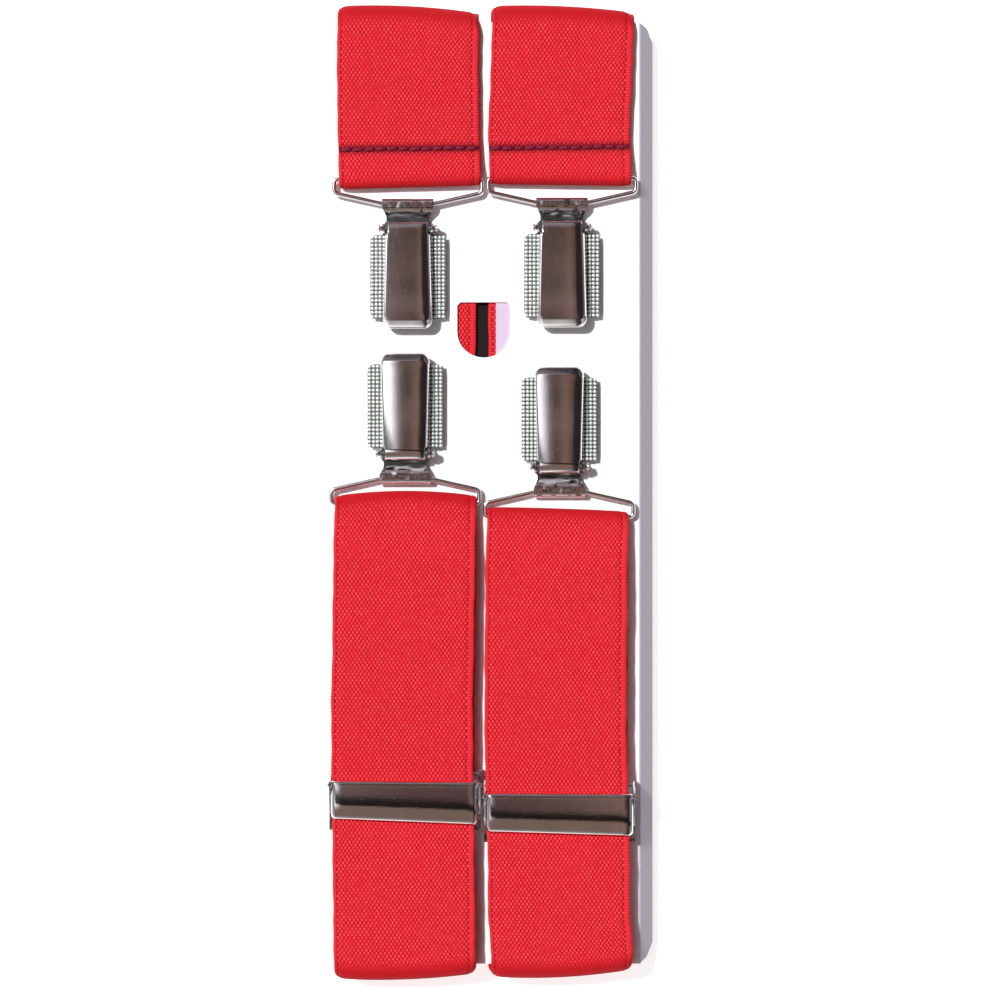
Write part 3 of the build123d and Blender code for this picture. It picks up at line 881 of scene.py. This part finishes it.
# ---- clips ----
PIN_V, PIN_W = 6.2, 1.9
JAW_START, JAW_END = 7.6, 27.8
FRONT_JAW_TOP = 0.15
BACK_JAW_UNDER = -1.6


def placed(name, points, faces, place, material, body, slot, node=None, weld=False):
    """A piece built in a clip's own frame."""
    piece = mesh_piece(name, [place(*p) for p in points], faces, material, weld=weld)
    belongs(piece, body, slot, node)
    return piece


def solidify(piece, thick):
    """Gives a skin its thickness, on its inner side."""
    change = piece.modifiers.new("thickness", "SOLIDIFY")
    change.thickness = thick * MM
    change.offset = -1.0


BEAD_PROFILE = ((1.0, 0.0), (0.86, 0.45), (0.55, 0.82), (0.2, 0.99))  # shares of radius and height


def bead(a, v, w, up, radius=0.44, height=0.40, sides=8):
    """A low pressed dome."""
    rings = []
    for r, h in BEAD_PROFILE:
        ring = [(a + radius * r * cos(q), v + radius * r * sin(q)) for q in turns(sides)]
        rings.append([(x, y, w + up * height * h) for x, y in ring])
    if up < 0:
        rings = [list(reversed(ring)) for ring in rings]
    return loft(rings)


def beads(w, up, columns=19, rows=21, pitch=0.955):
    """The grid of domes pressed into a jaw."""
    mid = (JAW_START + JAW_END) / 2
    across = [(i - (columns - 1) / 2) * pitch for i in range(columns)]
    along = [mid + (j - (rows - 1) / 2) * pitch for j in range(rows)]
    return join([bead(a, v, w, up) for a in across for v in along])


LEVER_TOP = 3.6
LEVER_START, LEVER_TIP = 7.6, 30.3
LEVER_NARROW, LEVER_WIDE = 5.0, 5.55  # half the face at the hub and at the free end
HUB_HALF = 4.75
HUB_PLAY = 0.1  # between the curled hub and the jaw under it
HUB_CURL, HUB_STEPS = radians(115), 13
LEVER_SHEET = 0.45
BOW_MID, BOW_REACH = 18, 11  # the face is bowed about this place
SHOULDER_AT, SHOULDER_CURVE = 0.8, 1.3
FACE_TIP, FACE_CORNER = 28.4, 0.6  # where the flat face ends, and its corners
FACE_SHARES = (0.0, 0.2, 0.4, 0.6, 0.8, 0.88, 0.96, 1.0)
# the lever's rim, from its face down: (out from the face's edge, tip, corner radius, height)
LEVER_RIM = (
    (0.12, 28.55, 1.3, 3.52),
    (0.27, 28.85, 1.5, 3.30),
    (0.36, 29.35, 1.7, 2.90),
    (0.41, 29.90, 1.9, 2.40),
    (0.44, 30.30, 2.0, 2.00),
    (0.40, 30.30, 2.0, 0.95),
)


def lever_half(v):
    """Half the width of the lever's face, which widens towards its free end."""
    return LEVER_NARROW + (LEVER_WIDE - LEVER_NARROW) * (v - LEVER_START) / (LEVER_TIP - LEVER_START)


def lever_face(a, v, crown, roll, bow, shoulder):
    """Height of the lever's face: crowned across, bowed along, rolled off on one side, with a shoulder."""
    across = a / lever_half(v)
    rolled = max(0.0, -across)
    over = max(0.0, (across * copysign(1, shoulder) - SHOULDER_AT) / (1 - SHOULDER_AT))
    level = LEVER_TOP - crown * across**2 - roll * rolled**3 - bow * ((v - BOW_MID) / BOW_REACH) ** 2
    return level - abs(shoulder) * over**SHOULDER_CURVE


def lever_ring(share, extra, tip, corner, height, count=24):
    """A U round the lever's free end, share of the face's width plus extra from its middle."""
    left = []
    for k in range(count):
        v = LEVER_START + (tip - corner - LEVER_START) * k / (count - 1)
        left.append((-(share * lever_half(v) + extra), v))
    half = -left[-1][0]
    corner_a = min(corner, half)
    for k in range(1, 7):
        q = pi / 2 * k / 6
        left.append((-half + corner_a * (1 - cos(q)), tip - corner + corner * sin(q)))
    line = list(left)
    for k in range(1, 8):
        line.append(((-half + corner_a) * (1 - k / 4), tip))
    line += [(-a, v) for a, v in reversed(left)]
    return [(a, v, height(a, v)) for a, v in line]


def lever_skin(crown, roll, bow, shoulder):
    """The lever's outer skin: face, steep sides, turned-down tip, and the hub curled round the pin."""

    def face(a, v):
        return lever_face(a, v, crown, roll, bow, shoulder)

    rings = []
    for f in FACE_SHARES:
        rings.append(lever_ring(f, 0.0, FACE_TIP - 4 * (1 - f), FACE_CORNER + FACE_CORNER * f, face))
    for extra, tip, corner, w in LEVER_RIM:
        keep = 1 - ease(LEVER_TOP - w, 0.0, 1.3)
        # the face's form fades out down the side
        rings.append(lever_ring(1.0, extra, tip, corner, lambda a, v: w + keep * (face(a, v) - LEVER_TOP)))
    shell = loft(rings, closed=False)

    across = [-f for f in reversed(FACE_SHARES[1:])] + list(FACE_SHARES)
    radius = LEVER_TOP - PIN_W - HUB_PLAY
    rings = []
    for v, half in ((LEVER_START, LEVER_NARROW), (LEVER_START - 0.35, HUB_HALF + 0.05), (PIN_V, HUB_HALF)):
        rings.append([(half * f, v, face(half * f, v)) for f in across])
    stops = [HUB_HALF * f for f in across]
    for k in range(1, HUB_STEPS + 1):
        q = pi / 2 + HUB_CURL * k / HUB_STEPS
        v, w = PIN_V + radius * cos(q), PIN_W + radius * sin(q)
        keep = max(0, 1 - (LEVER_TOP - w) / radius)
        rings.append([(a, v, w - keep * (LEVER_TOP - face(a, PIN_V))) for a in stops])
    points, faces = loft(rings, closed=False)
    return join([shell, (points, flipped(faces))])


def pin_shape(half=6.9, radius=0.65, head=0.95):
    """The pivot pin: a plain shank with a low riveted head at each end."""
    profile = [
        (-half - 0.28, 0.01),
        (-half - 0.26, head * 0.45),
        (-half - 0.16, head * 0.8),
        (-half + 0.05, head),
        (-half + 0.3, head),
        (-half + 0.36, radius),
    ]
    profile += [(-a, r) for a, r in reversed(profile)]
    round_pin = turns(16)
    return loft([[(a, PIN_V + r * cos(q), PIN_W + r * sin(q)) for q in round_pin] for a, r in profile])


# crown across, roll of the left side, bow along, and shoulder, whose sign is its side
LEVER_FORM = {
    ("back", "left"): (0.06, 0.16, 0.24, -0.26),
    ("back", "right"): (0.07, 0.16, 0.24, -0.26),
    ("front", "left"): (0.24, 0.16, 0.14, 0.16),
    ("front", "right"): (0.22, 0.14, 0.14, 0.16),
}


def build_clips():
    for end, side in CLIPS:
        clip = f"{end}_{side}"
        place = clip_place(end, side)
        skin = lever_skin(*LEVER_FORM[(end, side)])
        body, node = f"{clip}_lever", f"{clip}_clip_lever"
        lever = placed(f"{clip}_lever_skin", *skin, place, LEVER, body, "lever_chrome", node, weld=True)
        solidify(lever, LEVER_SHEET)
        placed(f"{clip}_pivot", *pin_shape(), place, PIN, f"{clip}_clip", "pin_steel", f"{clip}_clip_pin")
        placed(f"{clip}_jaw_beads", *beads(FRONT_JAW_TOP, 1), place, BEAD, f"{clip}_jaw", "sheet_chrome")
        placed(f"{clip}_back_beads", *beads(BACK_JAW_UNDER, -1), place, BEAD, f"{clip}_clip", "sheet_chrome")


# ---- adjusters ----
HINGE_Y, HINGE_Z = 4.1, 13.7
NOSE_R = 0.9
COVER_LOW = -4.75
COVER_CROWN = 14.7
COVER_CROWN_Y = -0.4
LIP_FALL, LIP_REACH = 0.38, 3.8  # how far it falls from the crown to its lip
HINGE_FALL, HINGE_REACH = 0.12, 4.5  # and to its hinge
LIP_UNDER = 12.95
LIP = [(0.0, 13.75), (0.08, 13.98), (0.28, 14.17)]  # (in from the edge, height)
COVER_HALF = 17.7
COVER_BOW = 0.05
COVER_SHEET = 0.4
# the rounded ends of the cover: (place across, drop, draw)
COVER_END = [(-COVER_HALF, 0.95, 0.9), (-17.62, 0.7, 0.5), (-17.3, 0.36, 0.2)]
COVER_END += [(-16.8, 0.03, 0.02), (-16.6, 0.0, 0.0)]
HINGE_SHARE = 0.2
COVER_TURN = {"left": -0.040, "right": -0.030}  # how much each cover lies askew, in radians


def cover_profile(drop, draw):
    """Outer line of the cover in (y, z), from its low lip over the crown and round the hinge."""
    low = COVER_LOW + draw
    line = [(low, LIP_UNDER)] + [(low + y, z - drop) for y, z in LIP]
    first = low + 0.6
    for k in range(18):
        y = first + (HINGE_Y - first) * k / 17
        low_side = max(0.0, (COVER_CROWN_Y - y) / LIP_REACH)
        high_side = max(0.0, (y - COVER_CROWN_Y) / HINGE_REACH)
        fall = LIP_FALL * low_side**2 + HINGE_FALL * high_side**2
        line.append((y, COVER_CROWN - fall - drop))
    for k in range(1, 11):
        q = radians(90 - 22 * k)
        line.append((HINGE_Y + NOSE_R * cos(q), HINGE_Z + NOSE_R * sin(q) - drop * 0.4))
    return line


def askew(y):
    """How much of the cover's turn shows at a place across it: all at the lip, little at the hinge."""
    return 1 - (1 - HINGE_SHARE) * ease(y, COVER_LOW, HINGE_Y)


def build_adjusters():
    stations = COVER_END + [(x, 0.0, 0.0) for x in np.linspace(-15, 15, 11)]
    stations += [(-x, drop, draw) for x, drop, draw in reversed(COVER_END)]
    for side in SIDES:
        mid = middle(f"{side}_adjuster_cover")
        place_y = middle(f"{side}_adjuster_hinge_pin").y - HINGE_Y
        rings = []
        for x, drop, draw in stations:
            bow = COVER_BOW * (x / COVER_HALF) ** 2
            turn = COVER_TURN[side] * x
            ring = [(place_y + y + turn * askew(y), z - bow) for y, z in cover_profile(drop, draw)]
            rings.append([(mid.x + x, y, z) for y, z in ring])
        points, faces = loft(rings, closed=False)
        piece = mesh_piece(f"{side}_adjuster_bright_cover", points, flipped(faces), MIRROR)
        solidify(piece, COVER_SHEET)
        belongs(piece, f"{side}_adjuster_lever", "mirror_chrome", f"{side}_adjuster_cover")


def dress_cad_nodes():
    """Materials for the CAD nodes that stay."""
    dressed = {}
    for end, side in CLIPS:
        dressed[f"{end}_{side}_wire_loop"] = WIRE
        dressed[f"{end}_{side}_clip_back"] = SHEET
        dressed[f"{end}_{side}_clip_jaw"] = JAW_WITH_GAP_SHADE
    for side in SIDES:
        dressed[f"{side}_adjuster_frame"] = SHEET
        dressed[f"{side}_adjuster_hinge_pin"] = PIN
        dressed[f"{side}_adjuster_anchor_bar"] = PIN
    for name, material in dressed.items():
        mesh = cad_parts[name].data
        mesh.materials.clear()
        mesh.materials.append(material)


# ---- stage ----
CARD_TONES = (0.90, 0.90, 0.91), (0.97, 0.96, 0.97)
TABLE_TONES = (0.55, 0.55, 0.56), (0.60, 0.60, 0.60)
TABLE_GLOW = 0.75


def fibrous(name, tones, scale, detail, rough, shine):
    """A material of two tones mixed by a fine cloud, and that cloud."""
    t = Finish(name)
    t.set(Roughness=rough, Specular_IOR_Level=shine)
    cloud = t.noise(t.place(), scale, detail)
    t.set(Base_Color=t.mix(cloud, *tones))
    return t, cloud


def card_material():
    t, fibre = fibrous("white_card", CARD_TONES, 1.5, 5.0, 0.6, 0.3)
    t.bump(fibre, 0.02, 0.4)
    return t.material


def board_material(name, tone):
    darker = tuple(c * 0.93 for c in tone)
    return fibrous(name, (darker, tone), 1.2, 4.0, 0.8, 0.2)[0].material


def floor_material():
    """A light table: pale, and lit from inside so that shadows on it stay faint."""
    t = fibrous("pale_table", TABLE_TONES, 0.01, 2.0, 0.8, 0.1)[0]
    t.set(Emission_Color=(1.0, 1.0, 1.0), Emission_Strength=TABLE_GLOW)
    return t.material


CARD_LEFT, CARD_BEND, CARD_RIGHT = -45.0, 37.6, 41.1
CARD_TOP, CARD_LOW = 113.8, -114.3
CARD_Z = 7.15
CARD_THICK = 0.5
CARD_ROUND = 1.5
HOLE_HALF = 6.45
HOLE_TOP, HOLE_TURN, HOLE_LOW = 45.9, 38.7, 32.5  # its top, the ends of its straight sides, its bottom
HOLE_CUT = 0.8  # at its two upper corners
FLAP_SLOPE = radians(54)
FLAP_THICK = 0.4
# the bent flap's ends: (place along, how far its free edge is cut back there)
FLAP_ENDS = [(CARD_LOW, 3.4), (CARD_LOW + 1.2, 1.6), (CARD_LOW + 4.5, 0.0)]
FLAP_ENDS += [(CARD_TOP - 4.5, 0.0), (CARD_TOP - 1.2, 1.4), (CARD_TOP - 0.2, 3.2)]
FLOOR_HALF, FLOOR_Z = 1500.0, -0.4
# the bent flap is the white card, given a darker lilac tone as painted shade
FLAP_SHADE_TONE = (0.60, 0.57, 0.65)
BOARD_LOW, BOARD_TOP = 29.0, 49.0
# what shows in the hole beside the webbing: (piece, from x, to x, height, tone); the near-black board is
# painted shade in the gap between the straps
BOARDS = (
    ("staged_gap_shade_board", -4.0, 3.5, (Z_PASS_TWO + Z_PASS_THREE) / 2, (0.01, 0.006, 0.006)),
    ("staged_inner_board", 2.9, 9.0, CARD_Z - 0.06, (0.64, 0.53, 0.68)),
)


def card_outline():
    """The card, with round corners on the left and its bend on the right."""
    line = [(CARD_BEND, CARD_LOW), (CARD_BEND, CARD_TOP)]
    cx = CARD_LEFT + CARD_ROUND
    for k, y in enumerate((CARD_TOP, CARD_LOW)):
        cy = y - copysign(CARD_ROUND, y)
        for s in range(5):
            q = pi / 2 * (k + 1 + s / 4)
            line.append((cx + CARD_ROUND * cos(q), cy + CARD_ROUND * sin(q)))
    return line


def hole_outline():
    """The hang hole: flat on top, straight sides and a round bottom."""
    line = [(HOLE_HALF - HOLE_CUT, HOLE_TOP), (HOLE_CUT - HOLE_HALF, HOLE_TOP)]
    line.append((-HOLE_HALF, HOLE_TOP - HOLE_CUT))
    for k in range(17):
        q = pi + pi * k / 16
        line.append((HOLE_HALF * cos(q), HOLE_TURN + (HOLE_TURN - HOLE_LOW) * sin(q)))
    line.append((HOLE_HALF, HOLE_TOP - HOLE_CUT))
    return line


def stage_card():
    curve = bpy.data.curves.new("card", "CURVE")
    curve.dimensions = "2D"
    curve.fill_mode = "BOTH"
    curve.extrude = CARD_THICK / 2 * MM
    for line in (card_outline(), hole_outline()):
        spline = curve.splines.new("POLY")
        spline.points.add(len(line) - 1)
        for point, (x, y) in zip(spline.points, line):
            point.co = (x * MM, y * MM, 0, 1)
        spline.use_cyclic_u = True
    curve.materials.append(card_material())
    card = show("staged_card", curve)
    card.location.z = (CARD_Z + CARD_THICK / 2) * MM
    return card


def stage_flap():
    """The card's right side, bent down past the straps, with a small round at the bend, and a darker lilac
    tone as painted shade.
    """
    width = CARD_RIGHT - CARD_BEND
    top = CARD_Z + CARD_THICK
    drop = width * tan(FLAP_SLOPE)
    rings = []
    for y, inset in FLAP_ENDS:
        share = 1 - inset / width
        free = (CARD_BEND + width * share, y, top - drop * share)
        rings.append([(CARD_BEND, y, top), (CARD_BEND + 0.35, y, top - 0.15), free])
    board = board_material("shaded_board", FLAP_SHADE_TONE)
    flap = mesh_piece("staged_card_flap", *loft(rings, closed=False), board, smooth=False)
    solidify(flap, FLAP_THICK)
    return flap


def stage_plate(name, x0, x1, y0, y1, z, material):
    """A level rectangle."""
    corners = [(x0, y0, z), (x1, y0, z), (x1, y1, z), (x0, y1, z)]
    return mesh_piece(name, corners, [(0, 1, 2, 3)], material, smooth=False)


def build_stage():
    reach = (-FLOOR_HALF, FLOOR_HALF)
    staged = [stage_card(), stage_flap()]
    staged.append(stage_plate("staged_floor", *reach, *reach, FLOOR_Z, floor_material()))
    for name, x0, x1, z, tone in BOARDS:
        board = board_material(f"{name}_stock", tone)
        staged.append(stage_plate(name, x0, x1, BOARD_LOW, BOARD_TOP, z, board))


# ---- light and camera ----
BACKGROUND = (0.97, 0.97, 0.98)
WALL_DARK, WALL_PALE = (0.07, 0.06, 0.065), (1.25, 1.22, 1.15)
WALL_LEFT = (0.42, 0.39, 0.45)
WALL_HIGH = (0.26, 0.24, 0.26)
CEILING = (0.19, 0.13, 0.105)
# the ceiling's bands, going up the photograph: (degrees where it sets in, where it is whole, tone)
CEILING_BANDS = (
    (-5, -4, (0.095, 0.050, 0.052)),
    (-0.5, 1.0, (0.17, 0.118, 0.104)),
    (1.8, 2.8, (0.055, 0.036, 0.033)),
    (3.2, 5.0, (0.115, 0.073, 0.064)),
    (5.0, 10.0, (0.080, 0.048, 0.042)),
)
CEILING_STREAK = (0.20, 0.15, 0.14)
WARM_STRIP = (0.32, 0.16, 0.10)
DARK_SIDE = (0.014, 0.011, 0.014)
PANEL = (1.7, 1.65, 1.75)
SLOT = (0.004, 0.004, 0.004)


def build_world():
    """What the metal reflects: a dark banded ceiling, pale walls, a bright panel to the left, a dark side
    to the right and a black slot. The camera itself sees a plain pale background."""
    world = bpy.data.worlds.new("studio")
    bpy.context.scene.world = world
    world.use_nodes = True
    t = Tree(world.node_tree)
    way = t.add("ShaderNodeTexCoord").outputs["Generated"]
    x, y, z = t.split(way)
    above = t.math("MAXIMUM", z, 0.02)
    # degrees from straight above, to the right and up the photograph
    tilt_x = t.times(t.math("ARCTAN2", x, above), 180 / pi)
    tilt_y = t.times(t.math("ARCTAN2", y, above), 180 / pi)

    def strip(angle, low, high, soft):
        inside = t.span(angle, low - soft, low + soft)
        return t.times(inside, t.span(angle, high + soft, high - soft))

    side = t.math("ADD", t.times(x, -0.6), t.times(y, -0.8))
    low_wall = t.mix(t.span(side, -0.5, 0.55), WALL_DARK, WALL_PALE)
    low_wall = t.mix(t.span(x, -0.55, -0.95), low_wall, WALL_LEFT)
    wall = t.mix(t.span(z, 0.18, 0.6), low_wall, WALL_HIGH)

    ceiling = CEILING
    for low, high, tone in CEILING_BANDS:
        ceiling = t.mix(t.span(tilt_y, low, high), ceiling, tone)
    streak = t.noise(t.stretch(way, (9.0, 1.6, 1.0)), 1.3, 2.0, 0.5)
    ceiling = t.mix(t.span(streak, 0.42, 0.6, 0.0, 0.6), ceiling, CEILING_STREAK)
    overhead = t.times(strip(tilt_x, -34, 36, 5), strip(tilt_y, -38, 38, 6))
    tone = t.mix(overhead, wall, ceiling)

    warm = t.times(strip(tilt_x, 3, 6, 1.5), strip(tilt_y, -30, 30, 6))
    tone = t.mix(t.times(warm, 0.45), tone, WARM_STRIP)
    dark = strip(tilt_x, 9, 45, 2.5)
    tone = t.mix(t.times(dark, 0.92), tone, DARK_SIDE)
    panel = t.times(t.span(tilt_x, -4, -18), t.span(tilt_x, -40, -34))
    panel = t.times(panel, strip(tilt_y, -14, 40, 6))
    tone = t.mix(panel, tone, PANEL)
    slanted = t.math("ADD", tilt_y, t.times(tilt_x, 0.25))
    slot = strip(slanted, -12.0, -4.6, 0.7)
    tone = t.mix(t.times(slot, 0.95), tone, SLOT)
    seen = t.add("ShaderNodeLightPath").outputs["Is Camera Ray"]
    t.link(t.mix(seen, tone, BACKGROUND), t.tree.nodes["Background"].inputs["Color"])


SUN_WAY = Vector((-0.5, 0.36, 1.0))
SUN_POWER = 3.6
SUN_WIDTH = radians(4)
CAMERA_PLACE = Vector((3.9, -2.0, 700.0))
SENSOR, LENS = 36.0, 102.9
NEAR_M, FAR_M = 0.05, 5.0


def build_light():
    sun = bpy.data.lights.new("key", "SUN")
    sun.energy = SUN_POWER
    sun.angle = SUN_WIDTH
    lamp = show("key", sun)
    lamp.rotation_mode = "QUATERNION"
    lamp.rotation_quaternion = SUN_WAY.to_track_quat("Z", "Y")


def build_camera():
    """Straight above the pair, square to it."""
    lens = bpy.data.cameras.new("camera")
    lens.sensor_width = SENSOR
    lens.lens = LENS
    lens.clip_start, lens.clip_end = NEAR_M, FAR_M
    camera = show("camera", lens)
    camera.location = CAMERA_PLACE * MM
    bpy.context.scene.camera = camera
    bpy.context.scene.view_settings.view_transform = "Standard"


build_straps()
build_sewing()
build_patch()
build_clips()
build_adjusters()
dress_cad_nodes()
build_stage()
build_world()
build_light()
build_camera()
